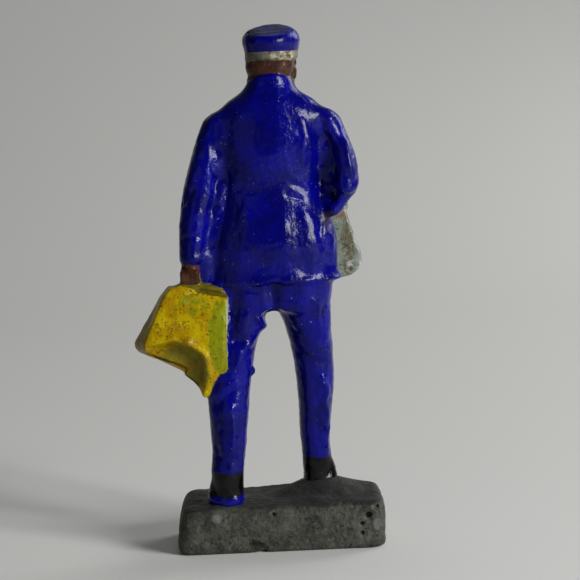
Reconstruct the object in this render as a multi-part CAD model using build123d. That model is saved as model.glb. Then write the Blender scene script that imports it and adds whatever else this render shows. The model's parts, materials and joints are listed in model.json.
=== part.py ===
from build123d import *
from math import copysign, cos, pi, radians, sin, tan
import os

# A painted miniature figure: a uniformed luggage porter who stands on a block base and carries two
# travelling bags. The figure is divided where its garments and paints divide. Each piece locates in
# the next: pegs stand in blind sockets, and shoes, sleeves, bags and collar are cut to the outline
# of what they lie against. Nothing moves.
#
# Millimetres, +Z up. The origin is the centre of the underside of the base. The figure faces -Y, so
# the wearer's left is +X.

# Fits
clearance = 0.08  # free space round a peg in its socket, and between neighbouring pieces
peg_depth = 2.4  # how far a peg stands in its socket
limb_peg_radius = 0.9
slim_peg_radius = 0.7  # pegs in the shoes

# Base
base_width = 24.0
base_depth = 12.2
base_height = 5.4
base_corner_radius = 1.9
base_top_round = 0.9
base_foot_chamfer = 0.4
mound_width = 8.6  # the swelling of the ground that the leading foot stands in
mound_depth = 7.4
mound_height = 1.3

# Feet and stance: the left foot trails and the right foot leads
left_ankle_x = 6.0
left_ankle_y = 3.3
right_ankle_x = -4.5
right_ankle_y = -1.7
leading_lift = 0.5  # how much higher the leading shoe stands, in its mound
shoe_height = 3.8
shoe_length = 6.9
shoe_width = 3.7
vamp_height = 1.7
left_toe_out = 12.0  # degrees
right_toe_out = -12.0
leading_leg_ratio = 0.88  # the leading leg and shoe are this much slimmer

# Trousers
leg_length = 18.3  # shoe top to crotch
ankle_width = 3.7
shin_width = 4.0
knee_width = 4.7
thigh_width = 5.1
hip_width = 6.0
leg_depth_ratio = 1.1  # a leg is this much deeper than it is wide
knee_bow = 0.6  # how far the knees stand outside a straight line from hip to ankle
hip_spacing = 7.3
left_hip_y = 0.7
right_hip_y = -0.2
seat_height = 3.3  # crotch to jacket hem
seat_width = 14.0
seat_depth = 7.6

# Jacket
jacket_length = 21.5  # hem to the seam of the collar
hem_width = 16.5
hem_depth = 9.2
skirt_width = 15.4
skirt_depth = 8.8
waist_width = 11.5
waist_depth = 7.4
chest_width = 12.9
chest_depth = 8.2
yoke_width = 12.8
yoke_depth = 7.2
body_lean = -0.8  # how far the neck stands to the wearer's right of the base's centre
collar_width = 5.2
collar_depth = 5.1
collar_height = 1.0
neckline_slope = 27.0  # degrees, lower at the front

# Sleeves
shoulder_inset = 0.2  # the middle of a sleeve's head is this far inside the edge of the yoke
shoulder_drop = 4.1  # collar seam to the middle of the shoulder
sleeve_width = 4.2
sleeve_depth_ratio = 1.12
left_cuff_width = 3.0
left_cuff_above_hem = 2.8
left_cuff_beside_hem = 0.55  # how far the middle of the cuff stands outside the jacket's hem
left_cuff_y = 2.5
left_arm_bow = 0.7  # how far the arm curves outwards between shoulder and end
right_arm_bow = 0.35
elbow_width = 4.2
right_elbow_above_hem = 11.6
right_elbow_outside = 1.5
right_elbow_y = 1.1
right_cuff_width = 3.1
right_cuff_hang = 1.3  # the right cuff is this much taller than it is wide
forearm_reach = 5.3  # elbow to cuff, forwards
forearm_inset = 1.3  # elbow to cuff, towards the middle
forearm_drop = 1.7  # elbow to cuff, downwards

# Hands
fist_width = 2.1
fist_depth = 2.3
fist_height = 2.2
fist_round = 0.7
wrist_width = 1.8
wrist_length = 0.3  # bare wrist between cuff and fist
left_fist_outside = 0.5  # how far the left fist stands outside its cuff

# Head and cap
head_width = 5.3
head_depth = 6.3
chin_width = 2.2
chin_depth = 2.2
chin_drop = 0.4  # the chin is this far below the middle of the collar seam
face_height = 4.4  # chin to cap band
neck_width = 3.8
head_turn = -13.0  # degrees, towards the wearer's right
head_forward = 0.6
head_aside = -0.35
nose_radius = 0.6
band_height = 0.9
band_proud = 0.3  # how far the cap band stands outside the head
crown_overhang = 0.25  # how far the crown bulges over the band
crown_height = 1.9  # at the back, above the band
crown_rise = 1.4  # how much higher the crown stands at the front
crown_round = 0.9
skull_inset = 0.55  # the skull inside the cap is this much smaller all round
peak_reach = 2.3
peak_thickness = 0.5
peak_drop = 18.0  # degrees below level

# Bags: each hangs in a fist from the bar of its handle
handle_radius = 0.4
handle_bend = 0.6
handle_span = 2.8
handle_rise = 1.2  # frame to the middle of the bar
frame_height = 0.8
frame_thickness = 1.8
bag_mouth_ratio = 0.7  # the thickness at a bag's mouth, as a share of that at its foot
yellow_bag_height = 8.3
yellow_bag_top = 6.9
yellow_bag_bottom = 10.8
yellow_bag_thickness = 4.4
yellow_bag_swing = 15.0  # degrees, the foot of the bag swings outwards
yellow_grip_offset = 1.1  # how far outside the middle of the handle the fist holds
pale_bag_height = 8.2
pale_bag_top = 5.8
pale_bag_bottom = 8.6
pale_bag_thickness = 3.6
pale_bag_swing = -2.0
pale_grip_offset = -0.5

# Buttons
button_count = 4
button_radius = 0.42
button_proud = 0.25
button_pitch = 3.9
top_button_drop = 3.6

# Levels and places that follow from the sizes
left_sole_z = base_height
right_sole_z = base_height + leading_lift
left_ankle_z = left_sole_z + shoe_height
right_ankle_z = right_sole_z + shoe_height
crotch_z = left_ankle_z + leg_length
hem_z = crotch_z + seat_height
neck_z = hem_z + jacket_length
chin_z = neck_z - chin_drop
band_z = chin_z + face_height
crown_z = band_z + band_height

left_hip = (hip_spacing / 2, left_hip_y, crotch_z)
right_hip = (-hip_spacing / 2, right_hip_y, crotch_z)
left_ankle = (left_ankle_x, left_ankle_y, left_ankle_z)
right_ankle = (right_ankle_x, right_ankle_y, right_ankle_z)

shoulder_half_width = yoke_width / 2 - shoulder_inset
left_shoulder = (body_lean + shoulder_half_width, 0.3, neck_z - shoulder_drop)
right_shoulder = (body_lean - shoulder_half_width, 0.3, neck_z - shoulder_drop)
left_cuff = (hem_width / 2 + left_cuff_beside_hem, left_cuff_y, hem_z + left_cuff_above_hem)
right_elbow = (right_shoulder[0] - right_elbow_outside, right_elbow_y, hem_z + right_elbow_above_hem)
right_cuff = (
    right_elbow[0] + forearm_inset,
    right_elbow[1] - forearm_reach,
    right_elbow[2] - forearm_drop,
)
left_grip = (
    left_cuff[0] + left_fist_outside,
    left_cuff[1] + 0.3,
    left_cuff[2] - wrist_length - fist_height / 2,
)
right_grip = (right_cuff[0], right_cuff[1] - wrist_length - fist_depth / 2, right_cuff[2] - 0.3)
yellow_hang = (left_grip, yellow_bag_swing, yellow_grip_offset)
pale_hang = (right_grip, pale_bag_swing, pale_grip_offset)

band_width = head_width + 2 * band_proud
band_depth = head_depth + 2 * band_proud
crown_width = band_width + 2 * crown_overhang
crown_depth = band_depth + 2 * crown_overhang

OVAL_POINTS = 16
STANDING = (Align.CENTER, Align.CENTER, Align.MIN)


# Shared shapes


def between(start, end, share):
    """The value that lies share of the way from start to end."""
    return start + (end - start) * share


def oval(width, depth, grow=0.0, squareness=2.0):
    """A closed oval face on the XY plane. Squareness 2 is an ellipse, and more is a softer rectangle."""
    points = []
    for step in range(OVAL_POINTS):
        turn = 2 * pi * step / OVAL_POINTS
        across = copysign(abs(cos(turn)) ** (2 / squareness), cos(turn))
        along = copysign(abs(sin(turn)) ** (2 / squareness), sin(turn))
        points.append((across * (width / 2 + grow), along * (depth / 2 + grow)))
    return make_face(Spline(*points, periodic=True))


def aimed(start, end):
    """A frame at start whose own Z points at end, with its X level."""
    direction = Vector(end) - Vector(start)
    return Plane(origin=start, x_dir=direction.cross(Vector(0, 0, 1)), z_dir=direction).location


def peg(foot, radius, length, grow=0.0, tip=None):
    """A round peg from foot, upright or towards tip. A grown copy cuts its socket."""
    shape = Pos(0, 0, -grow) * Cylinder(radius + grow, length + 2 * grow, align=STANDING)
    return (Pos(*foot) if tip is None else aimed(foot, tip)) * shape


def largest(shape):
    """The largest solid of a cut shape."""
    return shape.solids().sort_by(SortBy.VOLUME)[-1]


# Base


def ground_mound():
    """The low swelling of the ground round the leading foot."""
    levels = [(-0.6, 1.0), (0.35, 0.8), (0.8, 0.6), (1.0, 0.42)]
    slices = []
    for rise, share in levels:
        slices.append(Pos(0, 0, mound_height * rise) * oval(mound_width * share, mound_depth * share))
    return Pos(right_ankle_x, right_ankle_y, base_height) * loft(slices)


def base_block():
    """The block with its mound, recessed for both shoes and drilled for their pegs."""
    block = Box(base_width, base_depth, base_height, align=STANDING)
    block = fillet(block.edges().filter_by(Axis.Z), base_corner_radius)
    block = fillet(block.faces().sort_by(Axis.Z)[-1].edges(), base_top_round)
    block = chamfer(block.faces().sort_by(Axis.Z)[0].edges(), base_foot_chamfer)
    return block + ground_mound() - left_shoe_form(clearance) - right_shoe_form(clearance)


# Shoes


def shoe_form(ankle, toe_out, ratio, grow):
    """A shoe under its ankle: a long low vamp, a shaft at the heel end, and a peg below the sole."""
    length = shoe_length * ratio
    width = shoe_width * ratio
    shaft_width = ankle_width * ratio
    shaft_depth = shaft_width * leg_depth_ratio
    middle_y = shaft_depth / 2 - length / 2
    vamp = loft(
        [
            Pos(0, middle_y, -grow) * oval(width, length, grow, 2.4),
            Pos(0, middle_y, vamp_height / 2) * oval(width, length, grow, 2.4),
            Pos(0, middle_y, vamp_height + grow) * oval(width * 0.72, length * 0.8, grow, 2.2),
        ]
    )
    shaft = loft(
        [
            Pos(0, 0, vamp_height * 0.2) * oval(width * 0.96, shaft_depth, grow),
            Pos(0, 0, vamp_height) * oval(shaft_width * 0.94, shaft_depth * 0.96, grow),
            Pos(0, 0, shoe_height + grow) * oval(shaft_width, shaft_depth, grow),
        ]
    )
    root = peg((0, 0, -peg_depth), slim_peg_radius, peg_depth + vamp_height / 2, grow)
    return Pos(ankle[0], ankle[1], ankle[2] - shoe_height) * Rot(0, 0, toe_out) * (vamp + shaft + root)


def left_shoe_form(grow=0.0):
    return shoe_form(left_ankle, left_toe_out, 1.0, grow)


def right_shoe_form(grow=0.0):
    return shoe_form(right_ankle, right_toe_out, leading_leg_ratio, grow)


def ankle_peg(ankle, grow=0.0):
    """The peg on top of a shoe, which stands in the trouser leg."""
    return peg(ankle, slim_peg_radius, peg_depth, grow)


# Trousers


def leg_form(ankle, hip, ratio, grow):
    """A trouser leg from shoe top to crotch, bowed outwards at knee and thigh."""
    stations = [
        (0.0, ankle_width, 0.0),
        (0.22, shin_width, 0.25),
        (0.47, knee_width, 0.95),
        (0.72, thigh_width, 1.0),
        (1.0, hip_width, 0.0),
    ]
    outwards = copysign(knee_bow, hip[0])
    slices = []
    for share, width, bow in stations:
        place = Pos(
            between(ankle[0], hip[0], share) + outwards * bow,
            between(ankle[1], hip[1], share),
            between(ankle[2], hip[2], share),
        )
        slim = width * between(ratio, 1.0, share**4)
        slices.append(place * oval(slim, slim * leg_depth_ratio, grow))
    return loft(slices)


def left_leg_form(grow=0.0):
    return leg_form(left_ankle, left_hip, 1.0, grow)


def right_leg_form(grow=0.0):
    return leg_form(right_ankle, right_hip, leading_leg_ratio, grow)


def hip_peg(hip, grow=0.0):
    """The peg on top of a trouser leg, which stands in the seat."""
    return peg(hip, limb_peg_radius, peg_depth, grow)


def seat_form(grow=0.0):
    """The seat of the trousers, from crotch to hem."""
    slices = []
    for rise, share in ((0.0, 0.95), (0.5, 0.99), (1.0, 1.0)):
        z = between(crotch_z, hem_z, rise)
        slices.append(Pos(0, 0.2, z) * oval(seat_width * share, seat_depth * share, grow, 2.5))
    return loft(slices)


def waist_peg(grow=0.0):
    """The oval peg on top of the seat, which stands in the jacket."""
    section = oval(seat_depth, seat_depth * 0.6, grow)
    return extrude(Pos(0, 0, hem_z - grow) * section, peg_depth + 2 * grow)


# Jacket


def jacket_form(grow=0.0):
    """The torso as one loft: flared skirt, waist, chest, sloping shoulders, and on up through the collar."""
    stations = [
        (0.0, hem_width, hem_depth, 0.2),
        (0.16, skirt_width, skirt_depth, 0.2),
        (0.37, between(skirt_width, waist_width, 0.6), between(skirt_depth, waist_depth, 0.7), 0.2),
        (0.56, waist_width, waist_depth, 0.1),
        (0.74, chest_width, chest_depth, 0.0),
        (0.86, yoke_width, yoke_depth, 0.15),
        (0.925, between(yoke_width, collar_width, 0.15), between(yoke_depth, collar_depth, 0.3), 0.2),
        (0.97, between(yoke_width, collar_width, 0.45), between(yoke_depth, collar_depth, 0.6), 0.2),
        (1.01, between(yoke_width, collar_width, 0.78), between(yoke_depth, collar_depth, 0.85), 0.15),
        (1.05, collar_width * 1.06, collar_depth, 0.1),
        (1.16, collar_width, collar_depth, 0.1),
    ]
    slices = []
    for share, width, depth, y in stations:
        place = Pos(body_lean * share, y, between(hem_z, neck_z, share))
        slices.append(place * oval(width, depth, grow))
    return loft(slices)


def neckline(height):
    """The sloping plane of the collar seam, raised by height."""
    slope = radians(neckline_slope)
    return Plane(origin=(body_lean, 0, neck_z + height), z_dir=(0, -sin(slope), cos(slope)))


def shoulder_peg(shoulder, grow=0.0):
    """The level peg inside a sleeve's head, which stands in the jacket."""
    x, y, z = shoulder
    outside = copysign(1.2, x)
    inside = copysign(peg_depth, x)
    return peg((x + outside, y, z), limb_peg_radius, abs(outside + inside), grow, tip=(x - inside, y, z))


def jacket():
    """The jacket below its collar seam, with sockets for seat, sleeves and neck."""
    body = split(jacket_form(), bisect_by=neckline(0), keep=Keep.BOTTOM)
    body -= waist_peg(clearance)
    body -= shoulder_peg(left_shoulder, clearance)
    body -= shoulder_peg(right_shoulder, clearance)
    body -= hung(*yellow_hang, bag_handle(clearance))
    return body - head_form(clearance)


def jacket_collar():
    """The standing collar, a ring that follows the jacket's outline above the seam."""
    ring = split(jacket_form(), bisect_by=neckline(0), keep=Keep.TOP)
    ring = split(ring, bisect_by=neckline(collar_height), keep=Keep.BOTTOM)
    return largest(ring - head_form(clearance))


def jacket_buttons():
    """A row of round buttons down the front, each standing just proud of the cloth."""
    cloth = jacket_form()
    row = []
    for step in range(button_count):
        z = neck_z - top_button_drop - button_pitch * step
        x = body_lean * (z - hem_z) / jacket_length
        post = peg((x, -hem_depth, z), button_radius, hem_depth, tip=(x, 0, z))
        front = (post - cloth).solids().sort_by(Axis.Y)[0]
        cut_y = front.bounding_box().max.Y - button_proud
        row.append(split(front, bisect_by=Plane(origin=(x, cut_y, z), z_dir=(0, 1, 0)), keep=Keep.TOP))
    return Compound(children=row)


# Sleeves


def sleeve_slices(shoulder, end, end_width, bow, shares, grow):
    """Level slices of a sleeve: a rounded head that leans inwards, then shares of the way to end."""
    top_z = shoulder[2] + sleeve_width * 0.6
    outwards = copysign(1.0, shoulder[0])
    slices = []
    for drop, share, lean in ((0.0, 0.42, 1.3), (0.35, 0.72, 0.95), (1.2, 0.94, 0.4), (2.5, 1.0, 0.0)):
        width = sleeve_width * share
        rise = grow if drop == 0 else 0.0
        place = Pos(shoulder[0] - outwards * lean, shoulder[1], top_z - drop + rise)
        slices.append(place * oval(width, width * sleeve_depth_ratio, grow))
    for share in shares:
        width = between(sleeve_width, end_width, share**2)
        sink = grow if share == 1.0 else 0.0
        place = Pos(
            between(shoulder[0], end[0], share) + outwards * bow * sin(pi * share),
            between(shoulder[1], end[1], share),
            between(shoulder[2], end[2], share) - sink,
        )
        slices.append(place * oval(width, width * sleeve_depth_ratio, grow))
    return slices


def left_sleeve_form(grow=0.0):
    """The left sleeve, which hangs to its cuff."""
    shares = (0.12, 0.25, 0.4, 0.55, 0.7, 0.85, 1.0)
    slices = sleeve_slices(left_shoulder, left_cuff, left_cuff_width, left_arm_bow, shares, grow)
    return loft(slices, ruled=True)


def right_sleeve_form(grow=0.0):
    """The right sleeve, mitred at the elbow so that the forearm points forwards, with a cuff that hangs."""
    shares = (0.25, 0.5, 0.72)
    slices = sleeve_slices(right_shoulder, right_elbow, elbow_width, right_arm_bow, shares, grow)
    elbow = Vector(right_elbow)
    forearm = Vector(right_cuff) - elbow
    mitre = aimed(elbow, elbow + Vector(0, 0, 1) - forearm.normalized())
    slices.append(mitre * oval(elbow_width, elbow_width * 1.25, grow))
    along = aimed(elbow, elbow - forearm)
    for share in (0.35, 0.68, 1.0):
        width = between(elbow_width, right_cuff_width, share)
        height = width * between(1.0, right_cuff_hang, share)
        reach = forearm.length * share + (grow if share == 1.0 else 0.0)
        slices.append(along * Pos(0, 0, -reach) * oval(width, height, grow))
    return loft(slices, ruled=True)


def sleeve(form, shoulder, wrist_socket):
    """A sleeve cut to the jacket's side, with its shoulder peg and the socket for the wrist."""
    return largest(form - jacket_form(clearance)) + shoulder_peg(shoulder) - wrist_socket


# Hands


def wrist_peg(grip, cuff, grow=0.0):
    """The wrist, from inside the fist to its end in the sleeve."""
    length = (Vector(cuff) - Vector(grip)).length
    return peg(grip, wrist_width / 2, length + peg_depth, grow, tip=cuff)


def hand(grip, cuff, handle_hole):
    """A fist closed round the bar of a handle, on its wrist."""
    block = Box(fist_width, fist_depth, fist_height)
    return Pos(*grip) * fillet(block.edges(), fist_round) + wrist_peg(grip, cuff) - handle_hole


# Head and cap, drawn facing -Y and then turned about the neck


def turned(shape):
    return Pos(body_lean + head_aside, 0.1 - head_forward, 0) * Rot(0, 0, head_turn) * shape


def skull_form(grow=0.0):
    """The top of the skull, an oval boss that the cap fits over."""
    section = oval(head_width - 2 * skull_inset, head_depth - 2 * skull_inset, grow)
    return extrude(Pos(0, 0, band_z - grow) * section, band_height + crown_height / 2 + 2 * grow)


def head_form(grow=0.0):
    """Jaw and face up to the cap band, with nose, neck and skull."""
    stations = [
        (0.0, -head_depth * 0.3, chin_width, chin_depth),
        (0.22, -head_depth * 0.2, head_width * 0.72, head_depth * 0.6),
        (0.55, -head_depth * 0.03, head_width * 0.95, head_depth * 0.92),
        (1.0, 0.0, head_width, head_depth),
    ]
    slices = []
    for share, y, width, depth in stations:
        slices.append(Pos(0, y, between(chin_z, band_z, share)) * oval(width, depth, grow))
    nose = Pos(0, -head_depth * 0.46, between(chin_z, band_z, 0.58)) * Sphere(nose_radius + grow)
    neck = peg((0, head_forward, neck_z - peg_depth), neck_width / 2, peg_depth + face_height * 0.7, grow)
    return turned(loft(slices) + nose + neck + skull_form(grow))


def cap_band():
    """The band that rests on the brow."""
    ring = extrude(Pos(0, 0, band_z) * oval(band_width, band_depth), band_height)
    return turned(ring - skull_form(clearance))


def cap_crown():
    """The crown, which bulges over the band and has a top that rises towards the front."""
    crown = loft(
        [
            Pos(0, 0, crown_z) * oval(band_width, band_depth),
            Pos(0, 0, crown_z + crown_height * 0.5) * oval(crown_width, crown_depth),
            Pos(0, 0, crown_z + crown_height + crown_rise) * oval(crown_width * 0.96, crown_depth * 0.96),
        ]
    )
    top = Plane(origin=(0, crown_depth / 2, crown_z + crown_height), z_dir=(0, crown_rise / crown_depth, 1))
    crown = split(crown, bisect_by=top, keep=Keep.BOTTOM)
    crown = fillet(crown.faces().sort_by(Axis.Z)[-1].edges(), crown_round)
    return turned(crown - skull_form(clearance))


def cap_peak():
    """The stiff peak, a crescent that slopes down from the front of the band."""
    sheet = extrude(Pos(0, -peak_reach, 0) * oval(head_width * 0.98, head_depth), peak_thickness)
    sink = peak_reach * tan(radians(peak_drop)) / 2
    sheet = Pos(0, 0, band_z) * Rot(peak_drop, 0, 0) * Pos(0, 0, -sink) * sheet
    core = Pos(0, 0, band_z - face_height) * oval(band_width, band_depth, clearance)
    sheet -= extrude(core, 2 * face_height)
    return turned(sheet.solids().sort_by(Axis.Y)[0])


# Bags, each drawn with the middle of its handle's bar at the origin


def hung(grip, swing, grip_offset, shape):
    """Hangs a bag in a fist."""
    return Pos(*grip) * Rot(0, -swing, 0) * Pos(-grip_offset, 0, 0) * shape


def bag_body(height, top, bottom, thickness):
    """A travelling bag's body: narrow at its mouth, wide and thick at its foot."""
    mouth_z = -handle_rise - frame_height
    slices = []
    for share, fullness in ((0.0, 0.0), (0.15, 0.6), (0.5, 0.9), (0.84, 1.0), (1.0, 0.8)):
        width = between(top, bottom, share) * (0.9 if share == 1.0 else 1.0)
        depth = thickness * between(bag_mouth_ratio, 1.0, fullness)
        slices.append(Pos(0, 0, mouth_z - height * share) * oval(width, depth, squareness=4.5))
    return loft(slices)


def bag_frame(top):
    """The stiff frame that closes the bag's mouth."""
    bar = Box(top * 0.96, frame_thickness, frame_height)
    bar = fillet(bar.edges().filter_by(Axis.Z), frame_thickness * 0.4)
    return Pos(0, 0, -handle_rise - frame_height / 2) * bar


def bag_handle(grow=0.0):
    """An arched handle: two posts on the frame, and a bar."""
    half = handle_span / 2
    start = (-half, 0, -handle_rise)
    path = FilletPolyline(start, (-half, 0, 0), (half, 0, 0), (half, 0, -handle_rise), radius=handle_bend)
    return sweep(Plane(origin=start, z_dir=(0, 0, 1)) * Circle(handle_radius + grow), path=path)


def against_figure(shape):
    """Cuts a bag to the outline of the clothes that it hangs against."""
    for neighbour in (
        left_leg_form(clearance),
        right_leg_form(clearance),
        seat_form(clearance),
        jacket_form(clearance),
        right_sleeve_form(clearance),
    ):
        shape -= neighbour
    return largest(shape)


def bag_in_hand(colour, side, hang, cuff, body, frame):
    """One bag's body, frame and handle, and the hand that holds it."""
    return {
        f"{colour}_bag_body": against_figure(hung(*hang, body)),
        f"{colour}_bag_frame": against_figure(hung(*hang, frame)),
        f"{colour}_bag_handle": hung(*hang, bag_handle()),
        f"{side}_hand": hand(hang[0], cuff, hung(*hang, bag_handle(clearance))),
    }


# The pieces


def figure_pieces():
    yellow_body = bag_body(yellow_bag_height, yellow_bag_top, yellow_bag_bottom, yellow_bag_thickness)
    pale_body = bag_body(pale_bag_height, pale_bag_top, pale_bag_bottom, pale_bag_thickness)
    left_socket = wrist_peg(left_grip, left_cuff, clearance)
    right_socket = wrist_peg(right_grip, right_cuff, clearance)
    seat = seat_form() + waist_peg()
    return {
        "base_block": base_block(),
        "left_shoe": left_shoe_form() + ankle_peg(left_ankle),
        "right_shoe": right_shoe_form() + ankle_peg(right_ankle),
        "left_trouser_leg": left_leg_form() + hip_peg(left_hip) - ankle_peg(left_ankle, clearance),
        "right_trouser_leg": right_leg_form() + hip_peg(right_hip) - ankle_peg(right_ankle, clearance),
        "trouser_seat": seat - hip_peg(left_hip, clearance) - hip_peg(right_hip, clearance),
        "jacket": jacket(),
        "jacket_collar": jacket_collar(),
        "jacket_buttons": jacket_buttons(),
        "left_sleeve": sleeve(left_sleeve_form(), left_shoulder, left_socket),
        "right_sleeve": sleeve(right_sleeve_form(), right_shoulder, right_socket),
        "head": head_form(),
        "cap_band": cap_band(),
        "cap_crown": cap_crown(),
        "cap_peak": cap_peak(),
        **bag_in_hand("yellow", "left", yellow_hang, left_cuff, yellow_body, bag_frame(yellow_bag_top)),
        **bag_in_hand("pale", "right", pale_hang, right_cuff, pale_body, bag_frame(pale_bag_top)),
    }


os.makedirs("parts", exist_ok=True)
for name, shape in figure_pieces().items():
    shape.label = name
    export_step(shape, f"parts/{name}.step")
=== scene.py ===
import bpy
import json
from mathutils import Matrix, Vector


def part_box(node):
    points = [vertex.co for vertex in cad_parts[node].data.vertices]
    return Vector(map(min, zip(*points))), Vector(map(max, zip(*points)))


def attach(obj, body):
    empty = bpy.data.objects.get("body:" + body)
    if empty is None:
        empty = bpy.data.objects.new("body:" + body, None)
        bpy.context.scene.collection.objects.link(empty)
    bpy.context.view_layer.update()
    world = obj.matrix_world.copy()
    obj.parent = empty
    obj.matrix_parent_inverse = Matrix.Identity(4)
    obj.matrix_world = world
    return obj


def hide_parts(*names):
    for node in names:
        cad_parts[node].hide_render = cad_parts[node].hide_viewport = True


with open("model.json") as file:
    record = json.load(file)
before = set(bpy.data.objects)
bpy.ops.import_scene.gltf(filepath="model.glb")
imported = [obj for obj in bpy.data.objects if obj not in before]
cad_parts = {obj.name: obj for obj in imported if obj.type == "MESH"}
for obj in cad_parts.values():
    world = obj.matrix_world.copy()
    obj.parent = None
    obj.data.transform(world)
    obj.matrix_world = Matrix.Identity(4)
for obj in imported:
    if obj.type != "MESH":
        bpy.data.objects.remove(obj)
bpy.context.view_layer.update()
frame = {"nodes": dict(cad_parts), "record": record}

import json
import math
from bisect import bisect_left, bisect_right

import bmesh
import bpy
from mathutils import Euler, Matrix, Vector, noise
from mathutils.bvhtree import BVHTree

# A cast and hand-painted luggage porter. Everything is modelled in millimetres and brought to
# metres when a piece is finished. The figure faces -Y, and the wearer's left is +X.
#
# The figure is worked as one skin over all its pieces, as a casting is, and is then cut at the
# paint lines, so that enamel runs smoothly from one piece into the next.

MM = 0.001
GRAIN = 0.14  # size of the facets of the skin
BASE_GRAIN = 0.2  # size of the facets of the base
ENAMEL_THICKNESS = 0.09  # how far the skin stands over the bare pieces
UNEVENNESS = 0.085  # how far the worked surface strays from its shape
STROKE_REACH = 1.9  # how far in front of and behind its line a stroke presses the skin
STROKE_FADE = 0.5  # the part of that reach over which it dies away
WANDER_SCALE = 0.6  # how quickly a stroke or a dish wanders from its line, to the millimetre
HEAD_TURN = -13  # degrees, towards the wearer's right
SPECULAR = 0.12
COAT_SHARE = 0.4  # how much of the coat that a finish asks for is given
COAT_ROUGHNESS = 0.14


# Places taken from the frame, in millimetres


def box(node):
    low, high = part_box(node)
    return low / MM, high / MM


def middle(node):
    low, high = box(node)
    return (low + high) / 2


def node_points(node):
    return [v.co / MM for v in frame["nodes"][node].data.vertices]


def mean(points):
    return sum(points, Vector()) / len(points)


def ramp(value, start, end):
    """0 up to start, 1 from end on, and straight between them."""
    return max(0.0, min(1.0, (value - start) / (end - start)))


def head_place(height):
    """The head's own frame about the middle of the cap band, at the given height."""
    turn = Matrix.Rotation(math.radians(HEAD_TURN), 4, "Z")
    return Matrix.Translation((cap_middle.x, cap_middle.y, height)) @ turn


base_low, base_high = box("base_block")
jacket_low, jacket_high = box("jacket")
left_hand_low = box("left_hand")[0]
right_hand_low = box("right_hand")[0]
yellow_middle_y = middle("yellow_bag_body").y
pale_middle_y = middle("pale_bag_body").y
cap_middle = middle("cap_band")
brow_z = box("cap_band")[0].z
neck_x = middle("jacket_collar").x
FIST = 2.2  # height of a closed hand
left_grip = mean([p for p in node_points("left_hand") if p.z < left_hand_low.z + FIST])
right_grip = mean([p for p in node_points("right_hand") if p.y < right_hand_low.y + FIST])


# Round pits in the rear face of the base: x and z, and radius
PITS = [((-10.05, 3.95), 0.36), ((-9.25, 3.0), 0.24), ((-9.25, 1.9), 0.22)]
PITS += [((0.85, 4.5), 0.2), ((-11.1, 4.85), 0.2)]

# The dish in the foot of the yellow bag's rear side: x and z of its middle, radius, and depth
DISH_X, DISH_Z = 11.8, 20.7
DISH_RADIUS = 4.3
DISH_DEPTH = 1.5
LEG_EDGE = 7.5  # x of the trouser leg's side, which the dish leaves alone


# Shapes


def lump(bm, centre, radii, tilt=(0, 0, 0)):
    """An ellipsoid."""
    turn = Euler([math.radians(a) for a in tilt]).to_matrix().to_4x4()
    matrix = Matrix.Translation(centre) @ turn @ Matrix.Diagonal((*radii, 1))
    bmesh.ops.create_icosphere(bm, subdivisions=3, radius=1, matrix=matrix)


def rod(bm, start, end, start_radius, end_radius):
    """A tapered rod with round ends."""
    start, end = Vector(start), Vector(end)
    along = end - start
    turn = along.to_track_quat("Z", "Y").to_matrix().to_4x4()
    matrix = Matrix.Translation((start + end) / 2) @ turn
    bmesh.ops.create_cone(
        bm,
        cap_ends=True,
        segments=20,
        radius1=start_radius,
        radius2=end_radius,
        depth=along.length,
        matrix=matrix,
    )
    lump(bm, start, [start_radius] * 3)
    lump(bm, end, [end_radius] * 3)


def chain(bm, points, radius):
    """Rods joined end to end."""
    for start, end in zip(points, points[1:]):
        rod(bm, start, end, radius, radius)


def slab(bm, outline, centre_y, top_half, foot_half):
    """An upright slab, outlined in x and z and thicker at its foot. Returns its rear corners."""
    top = max(z for x, z in outline)
    foot = min(z for x, z in outline)
    corners = [bm.verts.new((x, centre_y - 1, z)) for x, z in outline]
    sheet = bm.faces.new(corners)
    pulled = bmesh.ops.extrude_face_region(bm, geom=[sheet])["geom"]
    rear = [g for g in pulled if isinstance(g, bmesh.types.BMVert)]
    bmesh.ops.translate(bm, vec=(0, 2, 0), verts=rear)
    for vert in corners + rear:
        down = (top - vert.co.z) / (top - foot)
        half = top_half + (foot_half - top_half) * down
        vert.co.y = centre_y + (vert.co.y - centre_y) * half
    bmesh.ops.recalc_face_normals(bm, faces=bm.faces)
    return rear


def bare_piece(node):
    """A merged copy of a frame node, swollen by the thickness of the enamel."""
    bm = bmesh.new()
    bm.from_mesh(frame["nodes"][node].data)
    bmesh.ops.scale(bm, vec=[1 / MM] * 3, verts=bm.verts)
    bmesh.ops.remove_doubles(bm, verts=bm.verts, dist=0.002)
    bm.normal_update()
    moves = [v.normal * ENAMEL_THICKNESS for v in bm.verts]
    for vert, move in zip(bm.verts, moves):
        vert.co += move
    return bm


# The head, drawn facing -Y about the middle of the cap band's lower edge


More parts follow.
